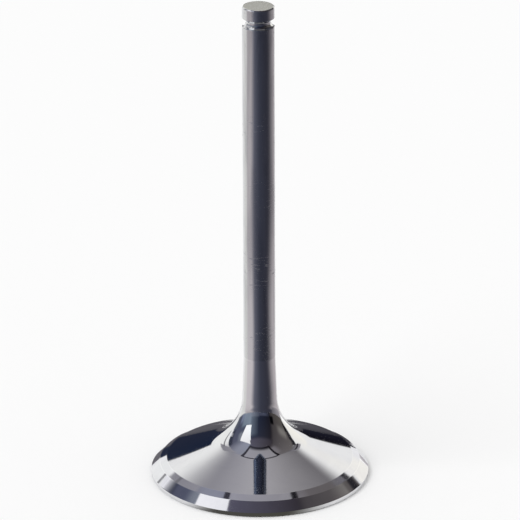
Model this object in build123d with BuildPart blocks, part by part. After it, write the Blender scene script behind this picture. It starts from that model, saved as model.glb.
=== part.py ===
from build123d import *
import math
import os

# Engine intake valve, turned and polished as one piece of steel.
# It stands on its combustion face: +Z runs up the stem, origin at the middle of that face.
# Millimetres and degrees throughout.

# Whole valve
overall_length = 124.3
head_diameter = 55.0
stem_diameter = 8.0

# Head, from the combustion face upwards
face_edge_break = 0.3
margin_height = 1.2
seat_width = 2.2
seat_angle = 45.0
back_cut_width = 1.75
back_cut_angle = 30.0
underhead_angle = 22.0

# Neck between the underhead cone and the ground stem
tulip_radius = 13.2
neck_flare_angle = 2.1
ground_stem_start = 31.8

# Keeper groove and tip
groove_setback = 4.0
groove_radius = 1.1
groove_depth = 0.9
groove_edge_break = 0.12
tip_chamfer = 0.25


def rise(width, angle):
    """Height that a conical band climbs over its radial width."""
    return width * math.tan(math.radians(angle))


# Corners of the half-section, as (radius, height)
head_radius = head_diameter / 2
stem_radius = stem_diameter / 2
seat_outer = (head_radius, margin_height)
seat_inner = (head_radius - seat_width, margin_height + rise(seat_width, seat_angle))
back_cut_inner = (
    seat_inner[0] - back_cut_width,
    seat_inner[1] + rise(back_cut_width, back_cut_angle),
)
neck_top = (stem_radius, ground_stem_start)

# The underhead cone and the flared neck would meet here if no radius joined them
cone_slope = math.tan(math.radians(underhead_angle))
flare_slope = math.tan(math.radians(neck_flare_angle))
cone_run = back_cut_inner[0] - stem_radius - flare_slope * neck_top[1]
throat_height = (back_cut_inner[1] + cone_run * cone_slope) / (1 - flare_slope * cone_slope)
throat = (stem_radius + flare_slope * (neck_top[1] - throat_height), throat_height)
groove_height = overall_length - groove_setback


def corner(sketch, radius, height):
    """Vertex of the half-section nearest to a radius and a height."""
    return sketch.vertices().sort_by_distance((radius, height, 0))[0]


with BuildPart() as valve:
    with BuildSketch(Plane.XZ) as half_section:
        with BuildLine():
            Polyline(
                (0, 0),
                (head_radius, 0),
                seat_outer,
                seat_inner,
                back_cut_inner,
                throat,
                neck_top,
                (stem_radius, overall_length),
                (0, overall_length),
                close=True,
            )
        make_face()
        # Large radius that sweeps the flow from the port over the back of the head
        fillet(corner(half_section, *throat), radius=tulip_radius)
        # Half-round groove that the split keepers grip
        with Locations((stem_radius - groove_depth + groove_radius, groove_height)):
            Circle(groove_radius, mode=Mode.SUBTRACT)
        groove_rims = half_section.vertices().sort_by_distance((stem_radius, groove_height, 0))[:2]
        fillet(groove_rims, radius=groove_edge_break)
        chamfer(corner(half_section, stem_radius, overall_length), length=tip_chamfer)
        chamfer(corner(half_section, head_radius, 0), length=face_edge_break)
    revolve(axis=Axis.Z)

valve.part.label = "valve"

os.makedirs("parts", exist_ok=True)
export_step(valve.part, "parts/valve.step")
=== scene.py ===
import math
import bpy
from mathutils import Matrix, Vector


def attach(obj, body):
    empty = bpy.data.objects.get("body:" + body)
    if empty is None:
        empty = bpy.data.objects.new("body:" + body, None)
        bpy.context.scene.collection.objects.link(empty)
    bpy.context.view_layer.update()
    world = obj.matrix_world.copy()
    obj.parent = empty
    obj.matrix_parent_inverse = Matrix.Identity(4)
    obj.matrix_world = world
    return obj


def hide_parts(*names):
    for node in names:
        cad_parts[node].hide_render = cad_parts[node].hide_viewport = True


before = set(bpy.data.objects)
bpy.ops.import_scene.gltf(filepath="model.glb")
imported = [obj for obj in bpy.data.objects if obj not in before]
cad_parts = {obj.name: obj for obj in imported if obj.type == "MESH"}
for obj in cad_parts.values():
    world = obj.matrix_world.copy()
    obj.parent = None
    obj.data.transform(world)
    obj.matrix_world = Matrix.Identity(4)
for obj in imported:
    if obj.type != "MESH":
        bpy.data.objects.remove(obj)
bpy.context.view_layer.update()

millimetre = 0.001
print("frame loaded:", sorted(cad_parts))


# camera

cameraView = {
    "place": (0.1975, -1014.84, 467.73),   # millimetres
    "downTilt": 22.0,                      # degrees below level
    "roll": -0.2015,                       # degrees
    "lens": 304.73,                        # millimetres, like the sensor
    "sensor": 36.0,
    "nearest": 0.05,                       # metres
    "farthest": 50.0,
}


def addCamera(view):
    tilt = math.radians(view["downTilt"])
    roll = math.radians(view["roll"])
    forward = Vector((0, math.cos(tilt), -math.sin(tilt)))
    level = Vector((0, math.sin(tilt), math.cos(tilt)))
    right = Vector((1, 0, 0)) * math.cos(roll) + level * math.sin(roll)
    up = level * math.cos(roll) - Vector((1, 0, 0)) * math.sin(roll)
    data = bpy.data.cameras.new("photoCamera")
    data.lens = view["lens"]
    data.sensor_width = view["sensor"]
    data.clip_start = view["nearest"]
    data.clip_end = view["farthest"]
    camera = bpy.data.objects.new("photoCamera", data)
    bpy.context.scene.collection.objects.link(camera)
    turn = Matrix((right, up, -forward)).transposed().to_4x4()
    camera.matrix_world = Matrix.Translation(Vector(view["place"]) * millimetre) @ turn
    bpy.context.scene.camera = camera


addCamera(cameraView)
print("camera placed")


# the section of the valve, as points (radius, height) from the middle of the head face to the tip

valveSection = {                     # millimetres and degrees, the same sizes as the solid
    "overallLength": 124.3,
    "headRadius": 27.5,
    "stemRadius": 4.0,
    "faceEdgeBreak": 0.3,
    "marginHeight": 1.2,
    "seatWidth": 2.2,
    "seatAngle": 45.0,
    "backCutWidth": 1.75,
    "backCutAngle": 30.0,
    "underheadAngle": 22.0,
    "tulipRadius": 13.2,
    "neckFlareAngle": 2.1,
    "groundStemStart": 31.8,
    "grooveHeight": 120.3,
    "grooveRadius": 1.1,
    "grooveDepth": 0.9,
    "grooveEdgeBreak": 0.12,
    "tipChamfer": 0.25,
    "edgeEase": 0.05,                # the hair of rounding that a stone leaves on each turned edge
    "creaseEase": 6.0,               # soft meeting of the flare and the ground stem
    "supportGap": 0.12,              # extra rings beside each edge keep the flats flat
    "ringSpacing": 3.0,              # between the rings along a straight run
    "glintFreeGap": 5.0,                # the sweep of the tulip counts as this far from any edge, which keeps the painted edge highlight off it
    "cornerSteps": 3,                # steps round the edges of the face and the tip
    "seatSteps": 4,                  # and round those of the seat, the back-cut and the crease
    "sweepSteps": 48,
    "rimSteps": 6,
    "grooveSteps": 28,
    "turnSegments": 256,
    "weldDistance": 0.001,
}
finishNames = ["headFace", "margin", "seat", "neck", "stem", "groove", "tip"]


def easeCorner(before, corner, after, radius, steps):
    toBefore = (Vector(before) - Vector(corner)).normalized()
    toAfter = (Vector(after) - Vector(corner)).normalized()
    half = toBefore.angle(toAfter) / 2
    reach = radius / math.tan(half)
    middle = Vector(corner) + (toBefore + toAfter).normalized() * (radius / math.sin(half))
    start = Vector(corner) + toBefore * reach - middle
    end = Vector(corner) + toAfter * reach - middle
    sweep = start.angle(end)
    points = []
    for step in range(steps + 1):
        share = step / steps
        a = math.sin((1 - share) * sweep) / math.sin(sweep)
        b = math.sin(share * sweep) / math.sin(sweep)
        points.append(middle + start * a + end * b)
    return points


def arcPoints(centre, radius, startAngle, endAngle, steps):
    points = []
    for step in range(steps + 1):
        angle = math.radians(startAngle + (endAngle - startAngle) * step / steps)
        points.append(Vector(centre) + Vector((math.cos(angle), math.sin(angle))) * radius)
    return points


def groovePoints(s):
    # the keeper groove is a round-bottomed ring with both of its rims eased
    centre = Vector((s["stemRadius"] - s["grooveDepth"] + s["grooveRadius"], s["grooveHeight"]))
    rim, steps = s["grooveEdgeBreak"], s["rimSteps"]
    rimX = s["stemRadius"] - rim
    rimOffset = math.sqrt((s["grooveRadius"] + rim) ** 2 - (centre.x - rimX) ** 2)
    rimTurn = math.degrees(math.atan2(rimOffset, centre.x - rimX))
    lowRim = arcPoints((rimX, centre.y - rimOffset), rim, 0, rimTurn, steps)
    dip = arcPoints(centre, s["grooveRadius"], 180 + rimTurn, 180 - rimTurn, s["grooveSteps"])
    highRim = arcPoints((rimX, centre.y + rimOffset), rim, -rimTurn, 0, steps)
    return lowRim + dip[1:-1] + highRim


def sectionCorners(s):
    radius, stem, top = s["headRadius"], s["stemRadius"], s["overallLength"]
    seatOuter = Vector((radius, s["marginHeight"]))
    seatRise = s["seatWidth"] * math.tan(math.radians(s["seatAngle"]))
    seatInner = seatOuter + Vector((-s["seatWidth"], seatRise))
    backCutRise = s["backCutWidth"] * math.tan(math.radians(s["backCutAngle"]))
    backCutInner = seatInner + Vector((-s["backCutWidth"], backCutRise))
    coneSlope = math.tan(math.radians(s["underheadAngle"]))
    flareSlope = math.tan(math.radians(s["neckFlareAngle"]))
    neckTop = Vector((stem, s["groundStemStart"]))
    coneRun = backCutInner.x - stem - flareSlope * neckTop.y
    throatHeight = (backCutInner.y + coneRun * coneSlope) / (1 - flareSlope * coneSlope)
    throat = Vector((stem + flareSlope * (neckTop.y - throatHeight), throatHeight))
    return {
        "breakLow": Vector((radius - s["faceEdgeBreak"], 0)),
        "breakHigh": Vector((radius, s["faceEdgeBreak"])),
        "seatOuter": seatOuter, "seatInner": seatInner, "backCutInner": backCutInner,
        "throat": throat, "neckTop": neckTop,
        "chamferLow": Vector((stem, top - s["tipChamfer"])),
        "chamferHigh": Vector((stem - s["tipChamfer"], top)),
    }


def sectionStations(s):
    middle, tipMiddle = Vector((0, 0)), Vector((0, s["overallLength"]))
    at = sectionCorners(s)
    order = [middle, *at.values(), tipMiddle]

    def eased(name, radius, steps):
        place = list(at).index(name) + 1
        return easeCorner(order[place - 1], order[place], order[place + 1], radius, steps)

    ease, few, more = s["edgeEase"], s["cornerSteps"], s["seatSteps"]
    blocks = [                       # each block of points, its kind, and the finish of the run after it
        ([middle], "edge", "headFace"),
        (eased("breakLow", ease, few), "edge", "margin"),
        (eased("breakHigh", ease, few), "edge", "margin"),
        (eased("seatOuter", ease, more), "edge", "seat"),
        (eased("seatInner", ease * 2, more), "edge", "seat"),
        (eased("backCutInner", ease * 3, more), "edge", "neck"),
        (eased("throat", s["tulipRadius"], s["sweepSteps"]), "sweep", "neck"),
        (eased("neckTop", s["creaseEase"], more), "edge", "stem"),
        (groovePoints(s), "groove", "stem"),
        (eased("chamferLow", ease, few), "edge", "stem"),
        (eased("chamferHigh", ease, few), "edge", "tip"),
        ([tipMiddle], "edge", "tip"),
    ]
    stations = []                    # radius, height, finish number, distance to the nearest edge
    for points, kind, finish in blocks:
        if stations:
            start, end = Vector(stations[-1][:2]), points[0]
            run = (end - start).length
            gap = min(s["supportGap"], run / 4)
            pieces = max(1, round((run - 2 * gap) / s["ringSpacing"]))
            for piece in range(pieces + 1):
                along = gap + (run - 2 * gap) * piece / pieces
                point = start.lerp(end, along / run)
                stations.append((point.x, point.y, runFinish, min(along, run - along)))
        ownFinish = finishNames.index("groove" if kind == "groove" else finish)
        edgeGap = s["glintFreeGap"] if kind == "sweep" else 0.0
        stations += [(point.x, point.y, ownFinish, edgeGap) for point in points]
        runFinish = finishNames.index(finish)
    return stations


stations = sectionStations(valveSection)
print("section drawn:", len(stations), "stations")


# node helpers

def addNode(tree, kind, column, row, inputs=None, **settings):
    node = tree.nodes.new(kind)
    node.location = (column * 200, -row * 170)
    for name, value in settings.items():
        setattr(node, name, value)
    for socket, value in (inputs or {}).items():
        if isinstance(value, bpy.types.NodeSocket):
            tree.links.new(value, node.inputs[socket])
        else:
            node.inputs[socket].default_value = value
    return node


def mathNode(tree, operation, column, row, *values):
    inputs = dict(enumerate(values))
    return addNode(tree, "ShaderNodeMath", column, row, inputs, operation=operation).outputs[0]


def mixColours(tree, column, row, factor, first, second, **settings):
    inputs = {0: factor, 6: first, 7: second}
    return addNode(tree, "ShaderNodeMix", column, row, inputs, data_type="RGBA", **settings).outputs[2]


def softStep(tree, column, row, value, low, high):
    inputs = {"Value": value, "From Min": low, "From Max": high}
    node = addNode(tree, "ShaderNodeMapRange", column, row, inputs, interpolation_type="SMOOTHSTEP")
    return node.outputs[0]


def noise(tree, column, row, place, scale, detail, **more):
    inputs = {"Vector": place, "Scale": scale, "Detail": detail, **more}
    return addNode(tree, "ShaderNodeTexNoise", column, row, inputs).outputs[0]


def newGroup(name, kind, sockets):
    tree = bpy.data.node_groups.new(name, kind)
    for direction, socketName, socketType, value in sockets:
        socket = tree.interface.new_socket(socketName, in_out=direction, socket_type=socketType)
        if value is not None:
            socket.default_value = value
    groupIn = addNode(tree, "NodeGroupInput", -6, 0)
    groupOut = addNode(tree, "NodeGroupOutput", 8, 0)
    return tree, groupIn.outputs, groupOut


def useGroup(tree, group, column, row, **values):
    node = addNode(tree, "ShaderNodeGroup", column, row, node_tree=group)
    for name, value in values.items():
        node.inputs[name].default_value = value
    return node.outputs


# shared surface effects, as shader groups with named inputs and outputs

def makeTurningMarks():
    tree, given, out = newGroup("turningMarks", "ShaderNodeTree", [
        ("INPUT", "pitch", "NodeSocketFloat", 0.0002),
        ("INPUT", "wander", "NodeSocketFloat", 0.5),
        ("OUTPUT", "height", "NodeSocketFloat", None),
    ])
    place = addNode(tree, "ShaderNodeTexCoord", -6, 2).outputs["Object"]
    parts = addNode(tree, "ShaderNodeSeparateXYZ", -5, 1, {0: place}).outputs
    flat = addNode(tree, "ShaderNodeCombineXYZ", -4, 1, {0: parts[0], 1: parts[1]}).outputs[0]
    radius = addNode(tree, "ShaderNodeVectorMath", -3, 1, {0: flat}, operation="LENGTH").outputs["Value"]
    drift = noise(tree, -3, 3, place, 55.0, 1.0)
    across = mathNode(tree, "DIVIDE", -2, 0, radius, given["pitch"])
    along = mathNode(tree, "DIVIDE", -2, 1, parts[2], given["pitch"])
    slip = mathNode(tree, "MULTIPLY", -2, 3, drift, given["wander"])
    track = addNode(tree, "ShaderNodeCombineXYZ", -1, 1, {0: across, 1: along, 2: slip}).outputs[0]
    fine = noise(tree, 0, 0, track, 1.0, 2.0, Roughness=0.6)
    coarse = noise(tree, 0, 2, track, 0.23, 1.0)
    both = mathNode(tree, "MULTIPLY_ADD", 2, 1, coarse, 1.6, fine)
    height = mathNode(tree, "MULTIPLY", 4, 1, both, 0.4)
    tree.links.new(height, out.inputs["height"])
    return tree


def makeHandling():
    tree, given, out = newGroup("handlingMarks", "ShaderNodeTree", [
        ("INPUT", "smearSize", "NodeSocketFloat", 110.0),
        ("INPUT", "amount", "NodeSocketFloat", 0.5),
        ("INPUT", "stretch", "NodeSocketFloat", 1.0),
        ("OUTPUT", "mask", "NodeSocketFloat", None),
        ("OUTPUT", "ticks", "NodeSocketFloat", None),
    ])
    place = addNode(tree, "ShaderNodeTexCoord", -6, 2).outputs["Object"]

    def pulled(column, row, factors):
        inputs = {0: place, 1: factors}
        return addNode(tree, "ShaderNodeVectorMath", column, row, inputs, operation="MULTIPLY").outputs[0]

    # smears, drawn out along the stem where the finish asks for it, and specks
    pull = addNode(tree, "ShaderNodeCombineXYZ", -5, 0, {0: 1.0, 1: 1.0, 2: given["stretch"]}).outputs[0]
    smear = noise(tree, -3, 0, pulled(-4, 0, pull), given["smearSize"], 3.0, Roughness=0.6, Distortion=0.8)
    speck = noise(tree, -3, 2, place, 1400.0, 2.0)
    soft = softStep(tree, -1, 0, smear, 0.42, 0.68)
    hard = softStep(tree, -1, 2, speck, 0.62, 0.74)
    both = mathNode(tree, "MULTIPLY_ADD", 1, 1, hard, 0.35, soft)
    mask = mathNode(tree, "MULTIPLY", 3, 1, both, given["amount"])
    tree.links.new(mask, out.inputs["mask"])

    # short scratches round the axis, in loose groups
    scratch = noise(tree, -3, 4, pulled(-4, 4, (1.0, 1.0, 6.0)), 400.0, 1.0)
    cluster = noise(tree, -3, 6, place, 62.0, 1.0)
    narrow = softStep(tree, -1, 4, scratch, 0.57, 0.70)
    grouped = softStep(tree, -1, 6, cluster, 0.52, 0.62)
    ticks = mathNode(tree, "MULTIPLY", 1, 5, narrow, grouped)
    tree.links.new(ticks, out.inputs["ticks"])
    return tree


# painted edge highlight: a mask that is strongest at each turned edge, broken up by noise
def makeEdgeGlint():
    tree, given, out = newGroup("edgeGlint", "ShaderNodeTree", [
        ("INPUT", "width", "NodeSocketFloat", 0.25),
        ("INPUT", "amount", "NodeSocketFloat", 0.6),
        ("OUTPUT", "mask", "NodeSocketFloat", None),
    ])
    gap = addNode(tree, "ShaderNodeAttribute", -5, 1, attribute_name="edgeGap").outputs["Fac"]
    place = addNode(tree, "ShaderNodeTexCoord", -6, 3).outputs["Object"]
    broken = noise(tree, -4, 3, place, 420.0, 2.0)
    wide = mathNode(tree, "MULTIPLY", -2, 3, broken, given["width"])
    reach = mathNode(tree, "ADD", -1, 3, wide, 0.02)
    share = mathNode(tree, "DIVIDE", 0, 1, gap, reach)
    near = softStep(tree, 1, 1, share, 1.0, 0.0)
    mask = mathNode(tree, "MULTIPLY", 3, 1, near, given["amount"])
    tree.links.new(mask, out.inputs["mask"])
    return tree


turningMarks = makeTurningMarks()
handlingMarks = makeHandling()
edgeGlint = makeEdgeGlint()
print("shader groups built")


# one steel, with the finish that each part of the valve is left with
# pitch is the width of a turning line in metres, and stretch under 1 draws the smears out along the stem

# the lighter colour given for the edges is a painted highlight along each turned edge, and the width beside
# it says how far it reaches, in millimetres
steelFinishes = {
    "headFace": {"bright": (0.66, 0.66, 0.67), "dull": (0.55, 0.55, 0.56), "glintColour": (0.80, 0.80, 0.80),
                 "rough": (0.16, 0.24), "pitch": 0.00030, "wander": 0.6, "markHeight": 0.0000040,
                 "smear": 90.0, "smearAmount": 0.5, "glintWidth": 0.5},
    "margin": {"bright": (0.74, 0.74, 0.76), "dull": (0.66, 0.66, 0.68), "glintColour": (0.86, 0.86, 0.86),
               "rough": (0.09, 0.15), "pitch": 0.00016, "wander": 0.4, "markHeight": 0.0000008,
               "smear": 140.0, "smearAmount": 0.4, "glintWidth": 0.3},
    "seat": {"bright": (0.76, 0.76, 0.79), "dull": (0.69, 0.69, 0.72), "glintColour": (0.88, 0.88, 0.89),
             "rough": (0.055, 0.10), "pitch": 0.00013, "wander": 0.5, "markHeight": 0.0000003,
             "smear": 130.0, "smearAmount": 0.45, "glintWidth": 0.25},
    "neck": {"bright": (0.77, 0.77, 0.78), "dull": (0.70, 0.70, 0.72), "glintColour": (0.86, 0.86, 0.86),
             "rough": (0.05, 0.09), "pitch": 0.00018, "wander": 0.8, "markHeight": 0.0000003,
             "smear": 100.0, "smearAmount": 0.45, "glintWidth": 0.25},
    "stem": {"bright": (0.695, 0.70, 0.71), "dull": (0.485, 0.49, 0.51), "glintColour": (0.84, 0.84, 0.85),
             "rough": (0.11, 0.24), "pitch": 0.00012, "wander": 0.9, "markHeight": 0.0000010,
             "smear": 300.0, "smearAmount": 0.7, "stretch": 0.10, "tickRough": 0.34, "glintWidth": 0.3},
    "groove": {"bright": (0.60, 0.60, 0.61), "dull": (0.46, 0.46, 0.47), "glintColour": (0.72, 0.72, 0.73),
               "rough": (0.07, 0.13), "pitch": 0.00014, "wander": 0.3, "markHeight": 0.0000008,
               "smear": 300.0, "smearAmount": 0.5, "glintWidth": 0.15},
    "tip": {"bright": (0.79, 0.78, 0.70), "dull": (0.66, 0.65, 0.58), "glintColour": (0.80, 0.80, 0.79),
            "rough": (0.24, 0.34), "pitch": 0.00022, "wander": 1.2, "markHeight": 0.0000020,
            "smear": 260.0, "smearAmount": 0.5, "glintWidth": 0.25},
}


def steelMaterial(name, finish):
    material = bpy.data.materials.new(name + "Steel")
    material.use_nodes = True
    tree = material.node_tree
    tree.nodes.clear()
    marks = useGroup(tree, turningMarks, -4, 4, pitch=finish["pitch"], wander=finish["wander"])
    smears = useGroup(tree, handlingMarks, -4, 1, smearSize=finish["smear"], amount=finish["smearAmount"],
                      stretch=finish.get("stretch", 1.0))
    glint = useGroup(tree, edgeGlint, -4, 2, width=finish["glintWidth"])
    body = mixColours(tree, -2, 0, smears["mask"], (*finish["bright"], 1), (*finish["dull"], 1))
    # painted edge highlight: the steel turns lighter near the edges
    colour = mixColours(tree, 0, 0, glint["mask"], body, (*finish["glintColour"], 1))
    spread = finish["rough"][1] - finish["rough"][0]
    rough = mathNode(tree, "MULTIPLY_ADD", -1, 2, smears["mask"], spread, finish["rough"][0])
    if "tickRough" in finish:
        rough = mathNode(tree, "MULTIPLY_ADD", 0, 2, smears["ticks"], finish["tickRough"], rough)
    bump = addNode(tree, "ShaderNodeBump", 1, 4, {
        "Strength": 1.0, "Distance": finish["markHeight"], "Height": marks["height"]})
    steel = addNode(tree, "ShaderNodeBsdfPrincipled", 3, 0, {
        "Metallic": 1.0, "Base Color": colour, "Roughness": rough, "Normal": bump.outputs[0]})
    addNode(tree, "ShaderNodeOutputMaterial", 5, 0, {"Surface": steel.outputs[0]})
    return material


steelMaterials = [steelMaterial(name, steelFinishes[name]) for name in finishNames]
print("steel finishes built:", len(steelMaterials))


# the valve itself: a node tree turns the section about the stem's axis

def makeLathe(materials):
    tree, given, out = newGroup("turnSection", "GeometryNodeTree", [
        ("INPUT", "section", "NodeSocketGeometry", None),
        ("INPUT", "turnSegments", "NodeSocketInt", 96),
        ("INPUT", "weldDistance", "NodeSocketFloat", 0.000001),
        ("OUTPUT", "turned", "NodeSocketGeometry", None),
    ])

    def sample(column, row, value, ring, dataType):
        return addNode(tree, "GeometryNodeSampleIndex", column, row, {0: given["section"], 1: value, 2: ring},
                       data_type=dataType, domain="POINT").outputs[0]

    def read(column, row, name, dataType):
        return addNode(tree, "GeometryNodeInputNamedAttribute", column, row, {0: name},
                       data_type=dataType).outputs[0]

    def store(column, shape, name, value, dataType, domain):
        inputs = {"Geometry": shape, "Name": name, "Value": value}
        return addNode(tree, "GeometryNodeStoreNamedAttribute", column, 0, inputs,
                       data_type=dataType, domain=domain).outputs[0]

    # a grid with a row for each station, and one column more than the turn has segments
    stationCount = addNode(tree, "GeometryNodeAttributeDomainSize", -5, 0, {0: given["section"]},
                           component="MESH").outputs[0]
    columns = mathNode(tree, "ADD", -5, 2, given["turnSegments"], 1.0)
    sheet = addNode(tree, "GeometryNodeMeshGrid", -1, 0, {2: stationCount, 3: columns}).outputs[0]
    index = addNode(tree, "GeometryNodeInputIndex", -5, 4).outputs[0]
    ring = mathNode(tree, "FLOOR", -3, 3, mathNode(tree, "DIVIDE", -4, 3, index, columns))
    turn = mathNode(tree, "MODULO", -4, 4, index, columns)
    stepAngle = mathNode(tree, "DIVIDE", -4, 5, 2 * math.pi, given["turnSegments"])
    angle = mathNode(tree, "MULTIPLY", -3, 4, turn, stepAngle)

    # each row takes its radius and height from its station and runs once round the axis
    position = addNode(tree, "GeometryNodeInputPosition", -5, 6).outputs[0]
    station = sample(-2, 3, position, ring, "FLOAT_VECTOR")
    parts = addNode(tree, "ShaderNodeSeparateXYZ", -1, 3, {0: station}).outputs
    across = mathNode(tree, "MULTIPLY", 0, 3, parts[0], mathNode(tree, "COSINE", -2, 4, angle))
    deep = mathNode(tree, "MULTIPLY", 0, 4, parts[0], mathNode(tree, "SINE", -2, 5, angle))
    place = addNode(tree, "ShaderNodeCombineXYZ", 1, 3, {0: across, 1: deep, 2: parts[2]}).outputs[0]
    shape = addNode(tree, "GeometryNodeSetPosition", 1, 0, {"Geometry": sheet, "Position": place}).outputs[0]

    # the painted edge highlight needs the distance to an edge at each point, and each face needs its finish
    shape = store(2, shape, "ring", ring, "FLOAT", "POINT")
    edgeGap = sample(3, 2, read(3, 3, "edgeGap", "FLOAT"), ring, "FLOAT")
    shape = store(3, shape, "edgeGap", edgeGap, "FLOAT", "POINT")
    lowRing = mathNode(tree, "FLOOR", 4, 6, read(3, 6, "ring", "FLOAT"))
    finish = sample(4, 2, read(4, 3, "finish", "INT"), lowRing, "INT")
    shape = store(4, shape, "finish", finish, "INT", "FACE")

    shape = addNode(tree, "GeometryNodeMergeByDistance", 5, 0, {
        "Geometry": shape, "Distance": given["weldDistance"]}).outputs[0]
    shape = addNode(tree, "GeometryNodeRemoveAttribute", 6, 0, {"Geometry": shape, "Name": "ring"}).outputs[0]
    shape = addNode(tree, "GeometryNodeSetShadeSmooth", 7, 0, {
        "Geometry": shape, "Shade Smooth": True}).outputs[0]
    shape = addNode(tree, "GeometryNodeRealizeInstances", 8, 0, {"Geometry": shape}).outputs[0]
    finish = read(8, 4, "finish", "INT")
    for number, material in enumerate(materials):
        chosen = addNode(tree, "FunctionNodeCompare", 9 + number, 3, {2: finish, 3: number},
                         data_type="INT", operation="EQUAL").outputs[0]
        shape = addNode(tree, "GeometryNodeSetMaterial", 9 + number, 0, {
            "Geometry": shape, "Selection": chosen, "Material": material}).outputs[0]
    out.location.x = (9 + len(materials)) * 200
    tree.links.new(shape, out.inputs[0])
    return tree


def drawSection(points):
    mesh = bpy.data.meshes.new("valveSectionLine")
    places = [(x * millimetre, 0.0, z * millimetre) for x, z, finish, gap in points]
    mesh.from_pydata(places, [(i, i + 1) for i in range(len(places) - 1)], [])
    finish = mesh.attributes.new("finish", "INT", "POINT")
    finish.data.foreach_set("value", [point[2] for point in points])
    gap = mesh.attributes.new("edgeGap", "FLOAT", "POINT")
    gap.data.foreach_set("value", [point[3] for point in points])
    line = bpy.data.objects.new("valveSectionLine", mesh)
    bpy.context.scene.collection.objects.link(line)
    return line


def turnValve(points, sizes):
    line = drawSection(points)
    lathe = line.modifiers.new("lathe", "NODES")
    lathe.node_group = makeLathe(steelMaterials)
    for item in lathe.node_group.interface.items_tree:
        if item.name == "turnSegments":
            lathe[item.identifier] = sizes["turnSegments"]
        if item.name == "weldDistance":
            lathe[item.identifier] = sizes["weldDistance"] * millimetre
    bpy.context.view_layer.update()
    shaped = line.evaluated_get(bpy.context.evaluated_depsgraph_get())
    mesh = bpy.data.meshes.new_from_object(shaped)
    line.modifiers.remove(lathe)
    bpy.data.objects.remove(line)
    mesh.name = "polishedValve"
    valve = bpy.data.objects.new("polishedValve", mesh)
    bpy.context.scene.collection.objects.link(valve)
    return valve


polishedValve = turnValve(stations, valveSection)
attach(polishedValve, "root")
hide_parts("valve")
print("valve turned:", len(polishedValve.data.polygons), "faces")


# the studio: a white floor, a white room and the panels that the polished steel mirrors

studio = {
    "floorColour": (0.975, 0.975, 0.975),
    "floorReach": 6.0,                   # metres
    "ambient": 0.74,
    "keyStrength": 0.26,
    "keyDirection": (-55.0, 48.0),       # degrees round from the camera side, and up
    "keySpread": 42.0,
    "steelShine": 0.75,                  # panel tones are written as the steel shows them
    "secondBounce": (0.38, 0.46, 0.58),  # and are dimmed where steel is seen in steel
    "wallCentre": 0.02,                  # walls hang round this height, in metres
    "grooveCentre": 0.119,               # small cards hang round this one
    "grooveReach": 0.09,                 # and show only in steel that is nearer than this
    "grazingBlur": 0.02,
    "panelColumns": 24,
    "panelRows": 21,
}


def towards(azimuth, elevation):
    azimuth, elevation = math.radians(azimuth), math.radians(elevation)
    flat = math.cos(elevation)
    return Vector((flat * math.sin(azimuth), -flat * math.cos(azimuth), math.sin(elevation)))


def asLight(tone):                       # a tone on the screen, as the light that gives it
    light = []
    for part in tone:
        part = part / 255
        linear = part / 12.92 if part <= 0.04045 else ((part + 0.055) / 1.055) ** 2.4
        light.append(linear / studio["steelShine"])
    return (*light, 1.0)


def addFloor(settings):
    mesh = bpy.data.meshes.new("studioFloor")
    reach = settings["floorReach"]
    corners = [(-reach, -reach, 0), (reach, -reach, 0), (reach, reach, 0), (-reach, reach, 0)]
    mesh.from_pydata(corners, [], [(0, 1, 2, 3)])
    floor = bpy.data.objects.new("studioFloor", mesh)
    bpy.context.scene.collection.objects.link(floor)
    material = bpy.data.materials.new("whitePaper")
    material.use_nodes = True
    paper = material.node_tree.nodes["Principled BSDF"]
    paper.inputs["Base Color"].default_value = (*settings["floorColour"], 1)
    paper.inputs["Roughness"].default_value = 0.9
    paper.inputs["Specular IOR Level"].default_value = 0.0
    mesh.materials.append(material)


def lightRoom(settings):
    world = bpy.data.worlds.new("whiteRoom")
    world.use_nodes = True
    bpy.context.scene.world = world
    tree = world.node_tree
    tree.nodes.clear()
    path = addNode(tree, "ShaderNodeLightPath", -4, 0).outputs
    seen = mathNode(tree, "ADD", -2, 0, path["Is Camera Ray"], path["Is Glossy Ray"])
    shown = mathNode(tree, "ADD", -1, 0, seen, path["Is Transmission Ray"])
    ambient = addNode(tree, "ShaderNodeBackground", 0, 1, {0: (1, 1, 1, 1), 1: settings["ambient"]})
    white = addNode(tree, "ShaderNodeBackground", 0, 2, {0: (1, 1, 1, 1), 1: 1.0})
    both = addNode(tree, "ShaderNodeMixShader", 2, 0, {0: shown, 1: ambient.outputs[0], 2: white.outputs[0]})
    addNode(tree, "ShaderNodeOutputWorld", 4, 0, {"Surface": both.outputs[0]})

    data = bpy.data.lights.new("softKey", "SUN")
    data.energy = settings["keyStrength"] * math.pi / math.sin(math.radians(settings["keyDirection"][1]))
    data.angle = math.radians(settings["keySpread"])
    key = bpy.data.objects.new("softKey", data)
    bpy.context.scene.collection.objects.link(key)
    key.matrix_world = towards(*settings["keyDirection"]).to_track_quat("Z", "Y").to_matrix().to_4x4()
    key.visible_glossy = False


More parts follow.
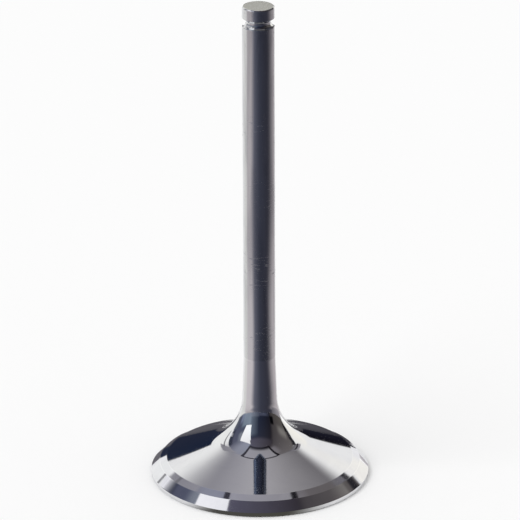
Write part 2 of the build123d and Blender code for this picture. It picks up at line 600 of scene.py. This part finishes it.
def makeSoftPanel():
    sides = ["Left", "Right", "Low", "High"]
    corners = ["lowLeft", "lowRight", "highRight", "highLeft"]
    tree, given, out = newGroup("softPanel", "ShaderNodeTree", [
        *[("INPUT", "fade" + side, "NodeSocketFloat", 0.05) for side in sides],
        *[("INPUT", corner, "NodeSocketColor", None) for corner in corners],
        ("OUTPUT", "colour", "NodeSocketColor", None),
        ("OUTPUT", "cover", "NodeSocketFloat", None),
    ])
    cloth = addNode(tree, "ShaderNodeUVMap", -6, 3, uv_map="panel").outputs[0]
    parts = addNode(tree, "ShaderNodeSeparateXYZ", -5, 3, {0: cloth}).outputs
    u, v = parts[0], parts[1]
    low = mixColours(tree, -2, 0, u, given["lowLeft"], given["lowRight"])
    high = mixColours(tree, -2, 1, u, given["highLeft"], given["highRight"])
    colour = mixColours(tree, 0, 0, v, low, high)
    cover = 1.0
    inwards = [u, mathNode(tree, "SUBTRACT", -4, 3, 1.0, u), v, mathNode(tree, "SUBTRACT", -4, 4, 1.0, v)]
    for row, (side, inward) in enumerate(zip(sides, inwards)):
        edge = softStep(tree, -2, 3 + row, inward, 0.0, given["fade" + side])
        cover = mathNode(tree, "MULTIPLY", row, 3 + row, edge, cover)
    tree.links.new(colour, out.inputs["colour"])
    tree.links.new(cover, out.inputs["cover"])
    return tree


softPanel = makeSoftPanel()


def panelMaterial(name, panel):
    material = bpy.data.materials.new(name + "Cloth")
    material.use_nodes = True
    material.cycles.emission_sampling = "NONE"
    tree = material.node_tree
    tree.nodes.clear()
    tones = panel["tones"]                   # one for all corners, left and right, or one for each corner
    toneOfCorner = {1: [0, 0, 0, 0], 2: [0, 1, 1, 0], 4: [0, 1, 2, 3]}[len(tones)]
    lights = [asLight(tones[number]) for number in toneOfCorner]
    fades = panel["fades"]
    face = useGroup(tree, softPanel, -2, 0,
                    fadeLeft=fades[0], fadeRight=fades[1], fadeLow=fades[2], fadeHigh=fades[3],
                    lowLeft=lights[0], lowRight=lights[1], highRight=lights[2], highLeft=lights[3])
    # steel seen in steel is darker than steel seen straight, so later bounces see the panels dimmed
    path = addNode(tree, "ShaderNodeLightPath", -2, 2).outputs
    second = mathNode(tree, "GREATER_THAN", -1, 2, path["Glossy Depth"], 1.5)
    dimmed = mixColours(tree, 0, 0, second, (1, 1, 1, 1), (*studio["secondBounce"], 1))
    tone = mixColours(tree, 1, 0, 1.0, face["colour"], dimmed, blend_type="MULTIPLY")
    glow = addNode(tree, "ShaderNodeEmission", 2, 0, {0: tone, 1: 1.0})
    clear = addNode(tree, "ShaderNodeBsdfTransparent", 2, 1)
    cover = face["cover"]
    if "grazing" in panel:                   # a floor card that only low rays see
        weight = addNode(tree, "ShaderNodeLayerWeight", -1, 3, {"Blend": 0.5})
        steep, blur = 1 - panel["grazing"], studio["grazingBlur"]
        low = addNode(tree, "ShaderNodeMapRange", 0, 3, {
            0: weight.outputs["Facing"], 1: steep - blur, 2: steep + blur})
        cover = mathNode(tree, "MULTIPLY", 1, 3, cover, low.outputs[0])
    if panel["hung"] == "groove":
        near = mathNode(tree, "LESS_THAN", 0, 4, path["Ray Length"], studio["grooveReach"])
        cover = mathNode(tree, "MULTIPLY", 1, 4, cover, near)
    if "inner" in panel:                     # a card seen only by steel that is itself seen in steel
        cover = mathNode(tree, "MULTIPLY", 2, 4, cover, second)
    both = addNode(tree, "ShaderNodeMixShader", 3, 0, {0: cover, 1: clear.outputs[0], 2: glow.outputs[0]})
    addNode(tree, "ShaderNodeOutputMaterial", 4, 0, {"Surface": both.outputs[0]})
    return material


def fan(left, right, *distances):            # the same bearings at each distance out
    return [(left, right, distance) for distance in distances]


def panelRungs(panel):                       # pairs of left and right ends, from the low edge to the high one
    if "rungs" in panel:
        return [(Vector((left, out, 0)), Vector((right, out, 0))) for left, right, out in panel["rungs"]]
    corners = [Vector((x, y, 0)) for x, y in panel["corners"]]
    return [(corners[0], corners[1]), (corners[3], corners[2])]


def panelPlace(panel, point):
    hung, distance = panel["hung"], panel["distance"]
    if hung == "wall":                       # degrees round from the camera side, and up
        return towards(point.x, point.y) * distance + Vector((0, 0, studio["wallCentre"]))
    if hung == "groove":                     # the same, round the keeper groove
        return towards(point.x, point.y) * distance + Vector((0, 0, studio["grooveCentre"]))
    if hung == "floor":                      # degrees round from the camera side, and metres out
        return towards(point.x, 0) * point.y + Vector((0, 0, distance))
    if hung == "stand":                      # metres across and up, behind the valve
        return Vector((point.x, distance, point.y))
    return Vector((point.x, point.y, distance))    # level: metres over the floor plan, at a height


def addPanel(name, panel):
    wide, tall = studio["panelColumns"], studio["panelRows"]
    rungs = panelRungs(panel)
    places, faces = [], []
    for row in range(tall + 1):
        climb = row / tall * (len(rungs) - 1)
        step = min(int(climb), len(rungs) - 2)
        left = rungs[step][0].lerp(rungs[step + 1][0], climb - step)
        right = rungs[step][1].lerp(rungs[step + 1][1], climb - step)
        for column in range(wide + 1):
            places.append(panelPlace(panel, left.lerp(right, column / wide)))
    for row in range(tall):
        for column in range(wide):
            corner = row * (wide + 1) + column
            faces.append((corner, corner + 1, corner + wide + 2, corner + wide + 1))
    mesh = bpy.data.meshes.new(name)
    mesh.from_pydata(places, [], faces)
    layer = mesh.uv_layers.new(name="panel")
    for loop in mesh.loops:
        spot = loop.vertex_index
        layer.data[loop.index].uv = ((spot % (wide + 1)) / wide, (spot // (wide + 1)) / tall)
    mesh.materials.append(panelMaterial(name, panel))
    board = bpy.data.objects.new(name, mesh)
    bpy.context.scene.collection.objects.link(board)
    board.visible_camera = False             # they show in the metal only
    board.visible_diffuse = False
    board.visible_shadow = False
    board.visible_volume_scatter = False


# distance is in metres: out from the middle for walls and groove cards, back for a stand, up for the rest
# corners run low left, low right, high right, high left, and so do four tones; rungs are (left, right, out)
# fades are shares of the width or height at the left, right, low and high edge
# grazing is how far from edge-on a card can still be seen; an inner one shows only in steel seen in steel
studioPanels = {
    # the room behind the valve, and the dark walls beside and before it
    "backLeft": {"hung": "wall", "distance": 2.0, "corners": [(178, 31), (252, 31), (252, 76), (178, 76)],
                 "fades": (0.05, 0.08, 0.58, 0.001),
                 "tones": [(100, 99, 104), (86, 86, 92), (142, 142, 154), (168, 166, 170)]},
    "backRight": {"hung": "wall", "distance": 2.0, "corners": [(108, 35), (182, 35), (182, 76), (108, 76)],
                  "fades": (0.08, 0.05, 0.28, 0.001),
                  "tones": [(60, 56, 58), (104, 102, 106), (168, 166, 170), (122, 120, 122)]},
    "leftWall": {"hung": "wall", "distance": 1.98,
                 "corners": [(-123, -4), (-40, -4), (-40, 74), (-129, 74)],
                 "fades": (0.045, 0.001, 0.05, 0.001),
                 "tones": [(66, 70, 90), (56, 66, 88), (84, 92, 110), (92, 92, 106)]},
    "leftTop": {"hung": "wall", "distance": 1.97, "corners": [(-130, 42), (-54, 42), (-54, 78), (-138, 78)],
                "fades": (0.06, 0.05, 0.55, 0.001), "tones": [(130, 132, 144), (134, 138, 154)]},
    "rightWall": {"hung": "wall", "distance": 1.98, "corners": [(44, -4), (128, -4), (136, 74), (44, 74)],
                  "fades": (0.001, 0.035, 0.04, 0.001),
                  "tones": [(46, 43, 46), (84, 80, 75), (102, 98, 100), (52, 49, 53)]},
    "frontWall": {"hung": "wall", "distance": 1.96, "corners": [(-56, -4), (66, -4), (66, 62), (-56, 62)],
                  "fades": (0.1, 0.14, 0.03, 0.001),
                  "tones": [(36, 46, 68), (18, 17, 22), (34, 30, 32), (48, 54, 72)]},
    "frontTop": {"hung": "wall", "distance": 1.95, "corners": [(-56, 50), (70, 50), (70, 82), (-56, 82)],
                 "fades": (0.06, 0.1, 0.3, 0.001),
                 "tones": [(82, 80, 96), (42, 38, 43), (60, 56, 60), (82, 82, 94)]},

    # a lighter haze low on the walls and round the softbox
    "hazeBand": {"hung": "wall", "distance": 1.94,
                 "corners": [(-114, -6), (-24, -6), (-24, 18), (-114, 18)],
                 "fades": (0.15, 0.28, 0.3, 0.45),
                 "tones": [(118, 126, 148), (104, 114, 134), (92, 102, 122), (108, 116, 138)]},
    "lowHaze": {"hung": "wall", "distance": 1.93, "corners": [(-60, -3), (62, -1), (62, 9), (-60, 9)],
                "fades": (0.2, 0.3, 0.3, 0.4), "tones": [(64, 68, 84)]},
    "frontHaze": {"hung": "wall", "distance": 1.928, "corners": [(-60, 5), (-4, 5), (-4, 54), (-60, 54)],
                  "fades": (0.1, 0.12, 0.08, 0.25), "tones": [(106, 117, 132), (34, 40, 56)]},
    "lowFrontHaze": {"hung": "wall", "distance": 1.926, "corners": [(-60, -4), (3, -4), (3, 11), (-60, 11)],
                     "fades": (0.1, 0.15, 0.2, 0.35), "tones": [(124, 132, 146), (58, 62, 78)]},
    "boxGlow": {"hung": "wall", "distance": 1.924, "corners": [(-98, -4), (-40, -4), (-40, 26), (-98, 26)],
                "fades": (0.25, 0.24, 0.05, 0.22),
                "tones": [(130, 140, 156), (118, 126, 140), (128, 142, 155), (92, 104, 120)]},
    "boxHalo": {"hung": "wall", "distance": 1.922,
                "corners": [(-100, 29), (-79, 29), (-84, 52), (-104, 52)], "fades": (0.6, 0.05, 0.3, 0.3),
                "tones": [(116, 121, 132)]},
    "rightHaze": {"hung": "wall", "distance": 1.95, "corners": [(78, 14), (117, 14), (117, 42), (78, 42)],
                  "fades": (0.6, 0.12, 0.45, 0.5), "tones": [(116, 113, 110)]},

    # narrow cards whose ends show in the seat, the back-cut and the rim of the tulip
    "blackCorner": {"hung": "wall", "distance": 1.92, "corners": [(50, 3), (78, 3), (74, 24), (54, 24)],
                    "fades": (0.25, 0.25, 0.25, 0.25), "tones": [(6, 6, 9)]},
    "leftSeatEnd": {"hung": "wall", "distance": 1.93,
                    "corners": [(-134, 17), (-113.5, 26), (-113.5, 33.5), (-134, 21)],
                    "fades": (0.05, 0.78, 0.05, 0.12), "tones": [(222, 222, 225)]},
    "leftLow": {"hung": "wall", "distance": 1.935,
                "corners": [(-127, -3), (-99, -3), (-99, 22), (-127, 16.5)], "fades": (0.15, 0.5, 0.2, 0.1),
                "tones": [(96, 100, 112), (52, 57, 74)]},
    "rightLow": {"hung": "wall", "distance": 1.92,
                 "corners": [(116, 2), (124.5, 2), (124.5, 20), (116, 23)],
                 "fades": (0.35, 0.12, 0.5, 0.05), "tones": [(14, 14, 18)]},
    "leftCutEnd": {"hung": "wall", "distance": 1.92,
                   "corners": [(-143.6, 29), (-125, 48), (-125, 64), (-143.6, 44)],
                   "fades": (0.15, 0.1, 0.05, 0.05), "tones": [(126, 125, 131), (136, 135, 142)]},
    "leftStrip": {"hung": "wall", "distance": 1.92,
                  "corners": [(-129, 20), (-123, 20), (-126, 37), (-131, 37)],
                  "fades": (0.3, 0.3, 0.2, 0.2), "tones": [(225, 226, 228)]},
    "leftDash": {"hung": "wall", "distance": 1.915,
                 "corners": [(-134, 13), (-130, 13), (-134, 41), (-138, 41)],
                 "fades": (0.3, 0.3, 0.08, 0.1),
                 "tones": [(130, 130, 132), (130, 130, 132), (96, 96, 100), (96, 96, 100)]},
    "leftEdge": {"hung": "wall", "distance": 1.945,
                 "corners": [(-124, 17), (-108, 17), (-112, 47), (-127.5, 49)],
                 "fades": (0.12, 0.5, 0.2, 0.15), "tones": [(50, 54, 68)]},
    "rightEdge": {"hung": "wall", "distance": 1.925,
                  "corners": [(116, 23), (126, 21), (138.5, 38), (128, 45)],
                  "fades": (0.45, 0.12, 0.15, 0.15), "tones": [(34, 33, 38)]},
    "rightSeatEnd": {"hung": "wall", "distance": 1.94,
                     "corners": [(117.5, 8), (132, 8), (132, 36), (117.5, 36)],
                     "fades": (0.4, 0.6, 0.15, 0.15), "tones": [(38, 36, 41)]},
    "rightCutEnd": {"hung": "wall", "distance": 1.93,
                    "corners": [(131, 37), (145.4, 29.5), (145.4, 42), (131, 58)],
                    "fades": (0.2, 0.05, 0.15, 0.05),
                    "tones": [(84, 82, 86), (142, 140, 146), (142, 140, 146), (84, 82, 86)]},
    "rightCutDark": {"hung": "wall", "distance": 1.92,
                     "corners": [(137.2, 34.5), (141.4, 30), (141.4, 44), (137.2, 49)],
                     "fades": (0.35, 0.25, 0.1, 0.1), "tones": [(34, 32, 38)]},
    "rightTop": {"hung": "wall", "distance": 1.94, "corners": [(70, 60), (122, 60), (126, 79), (62, 79)],
                 "fades": (0.3, 0.06, 0.5, 0.001), "tones": [(110, 106, 112), (114, 111, 114)]},

    # small cards near the keeper groove; the inner ones show only in steel that is seen in steel
    "grooveDark": {"hung": "groove", "distance": 0.06,
                   "corners": [(16, 27), (168, 15), (168, 60), (16, 60)], "fades": (0.08, 0.03, 0.12, 0.02),
                   "tones": [(34, 32, 36), (86, 84, 87), (44, 42, 46), (26, 24, 28)]},
    "grooveLight": {"hung": "groove", "distance": 0.06,
                    "corners": [(-122, 2), (-66, 2), (-66, 48), (-114, 48)],
                    "fades": (0.1, 0.2, 0.15, 0.05),
                    "tones": [(205, 205, 206), (176, 176, 180), (160, 160, 163), (170, 170, 174)]},
    "grooveFleck": {"hung": "groove", "distance": 0.061,
                    "corners": [(-112, 46), (-42, 46), (-42, 58), (-112, 58)],
                    "fades": (0.1, 0.15, 0.15, 0.1),
                    "tones": [(240, 240, 242), (228, 228, 230), (228, 228, 230), (240, 240, 242)]},
    "grooveShade": {"hung": "groove", "distance": 0.061,
                    "corners": [(-64, 14), (-26, 14), (-26, 46), (-64, 46)],
                    "fades": (0.15, 0.15, 0.1, 0.05),
                    "tones": [(140, 140, 143), (90, 90, 95), (90, 90, 95), (140, 140, 143)]},
    "grooveInner": {"hung": "groove", "distance": 0.062, "inner": True,
                    "corners": [(-104, -36), (-36, -30), (-36, 10), (-104, 10)],
                    "fades": (0.1, 0.2, 0.08, 0.1),
                    "tones": [(250, 232, 210), (620, 576, 522), (320, 298, 270), (470, 438, 396)]},
    "grooveLine": {"hung": "groove", "distance": 0.063, "inner": True,
                   "corners": [(-60, -17), (70, -17), (70, 14), (-60, 14)], "fades": (0.1, 0.1, 0.25, 0.1),
                   "tones": [(262, 242, 220), (250, 231, 210)]},
    "grooveRear": {"hung": "groove", "distance": 0.06,
                   "corners": [(-198, -14), (-152, -14), (-152, 12), (-198, 12)],
                   "fades": (0.1, 0.1, 0.05, 0.1), "tones": [(248, 248, 248)]},

    # white paper to both sides, and the dark stand behind
    "leftWhite": {"hung": "wall", "distance": 1.95,
                  "corners": [(-158, -14), (-127, -14), (-128, 44), (-156, 46)],
                  "fades": (0.2, 0.15, 0.3, 0.4), "tones": [(227, 228, 226)]},
    "rightWhite": {"hung": "wall", "distance": 1.95,
                   "corners": [(127, -14), (158, -14), (158, 44), (130, 38)],
                   "fades": (0.15, 0.2, 0.3, 0.4), "tones": [(234, 232, 225)]},
    "darkBack": {"hung": "stand", "distance": 0.4,
                 "corners": [(-0.185, 0.0), (0.131, 0.0), (0.131, 0.27), (-0.185, 0.27)],
                 "fades": (0.012, 0.012, 0.001, 0.02),
                 "tones": [(38, 44, 62), (20, 18, 26), (8, 5, 13), (20, 30, 50)]},

    # the softbox, and the ceiling panel with its dark rim
    "softbox": {"hung": "wall", "distance": 1.86, "corners": [(-68, 22), (-41, 24), (-51, 67), (-91, 49)],
                "fades": (0.04, 0.04, 0.04, 0.04),
                "tones": [(248, 249, 250), (246, 250, 252), (222, 222, 224), (232, 232, 234)]},
    "softboxEdge": {"hung": "wall", "distance": 1.855,
                    "corners": [(-54, 30), (-42, 30), (-44.5, 59), (-60, 59)],
                    "fades": (0.25, 0.12, 0.15, 0.15),
                    "tones": [(246, 250, 252), (246, 250, 252), (224, 225, 227), (226, 227, 229)]},
    "ceilingRim": {"hung": "level", "distance": 1.52,
                   "corners": [(-0.56, -0.345), (0.486, -0.345), (0.524, 0.5), (-0.463, 0.54)],
                   "fades": (0.015, 0.015, 0.015, 0.015),
                   "tones": [(50, 50, 58), (14, 14, 18), (14, 14, 18), (54, 54, 62)]},
    "ceiling": {"hung": "level", "distance": 1.5,
                "corners": [(-0.457, -0.271), (0.394, -0.271), (0.426, 0.42), (-0.378, 0.455)],
                "fades": (0.01, 0.01, 0.32, 0.01),
                "tones": [(142, 142, 150), (136, 134, 138), (140, 138, 142), (146, 145, 154)]},

    # shades that lie on the floor
    "paleShade": {"hung": "floor", "distance": 0.00002, "rungs": fan(-140, -80, 0.045, 0.2, 0.42, 1.9),
                  "fades": (0.45, 0.001, 0.01, 0.02),
                  "tones": [(206, 207, 204), (200, 200, 198), (222, 220, 219), (224, 224, 221)]},
    "wideShade": {"hung": "floor", "distance": 0.00003,
                  "rungs": [(-104, 163, 0.045), (-104, 163, 0.2), (-94, 163, 0.42), (-94, 163, 1.9)],
                  "fades": (0.06, 0.14, 0.01, 0.02),
                  "tones": [(194, 189, 192), (168, 162, 165), (146, 140, 143), (144, 138, 141)]},
    "darkShade": {"hung": "floor", "distance": 0.00006,
                  "rungs": [(-66, 130, 0.04), (-64, 134, 0.065), (-56, 117, 0.09), (-59, 115, 0.12),
                            (-70, 150, 0.19), (-59, 143, 0.29), (-58, 135, 0.42), (-58, 138, 1.9)],
                  "fades": (0.17, 0.42, 0.01, 0.02), "tones": [(98, 100, 113), (25, 20, 26)]},
    "darkCore": {"hung": "floor", "distance": 0.00007,
                 "rungs": [(-40, 92, 0.04), (-40, 92, 0.065), (-36, 78, 0.09), (-36, 74, 0.12),
                           (-48, 104, 0.19), (-42, 96, 0.29), (-40, 92, 0.42), (-40, 92, 1.9)],
                 "fades": (0.4, 0.35, 0.01, 0.02), "tones": [(60, 64, 78), (42, 40, 47)]},
    "rightFoot": {"hung": "floor", "distance": 0.00008, "grazing": 0.19,
                  "rungs": fan(72, 131, 0.04, 0.12, 0.5, 1.9), "fades": (0.15, 0.06, 0.01, 0.02),
                  "tones": [(88, 86, 92), (150, 147, 152)]},
    "rightGlow": {"hung": "floor", "distance": 0.00009, "grazing": 0.24,
                  "rungs": fan(129, 158, 0.11, 0.5, 1.9), "fades": (0.15, 0.15, 0.03, 0.02),
                  "tones": [(248, 248, 246)]},
    "leftFoot": {"hung": "floor", "distance": 0.00008, "rungs": fan(-130, -84, 0.4, 0.8, 1.9),
                 "fades": (0.12, 0.1, 0.08, 0.02), "tones": [(132, 134, 140), (142, 147, 158)]},
    "headShade": {"hung": "floor", "distance": 0.00004,
                  "corners": [(-47, 0.0262), (42, 0.0262), (78, 0.05), (-50, 0.05)],
                  "fades": (0.25, 0.35, 0.001, 0.2), "tones": [(74, 73, 70), (66, 65, 58)]},
    "backGround": {"hung": "level", "distance": 0.00005, "grazing": 0.21,
                   "corners": [(-0.0305, 0.006), (0.02, 0.006), (0.131, 0.4), (-0.185, 0.4)],
                   "fades": (0.02, 0.02, 0.001, 0.001),
                   "tones": [(100, 99, 104), (66, 64, 70), (28, 27, 32), (54, 56, 66)]},
    "backFoot": {"hung": "level", "distance": 0.00006, "grazing": 0.3,
                 "corners": [(-0.0305, 0.006), (0.02, 0.006), (0.034, 0.054), (-0.0493, 0.054)],
                 "fades": (0.03, 0.03, 0.001, 0.25),
                 "tones": [(100, 99, 104), (66, 64, 70), (62, 60, 66), (94, 92, 98)]},
}

addFloor(studio)
lightRoom(studio)
for panelName, panelSettings in studioPanels.items():
    addPanel(panelName, panelSettings)
print("studio set:", len(studioPanels), "panels")

bpy.context.scene.view_settings.view_transform = "Standard"
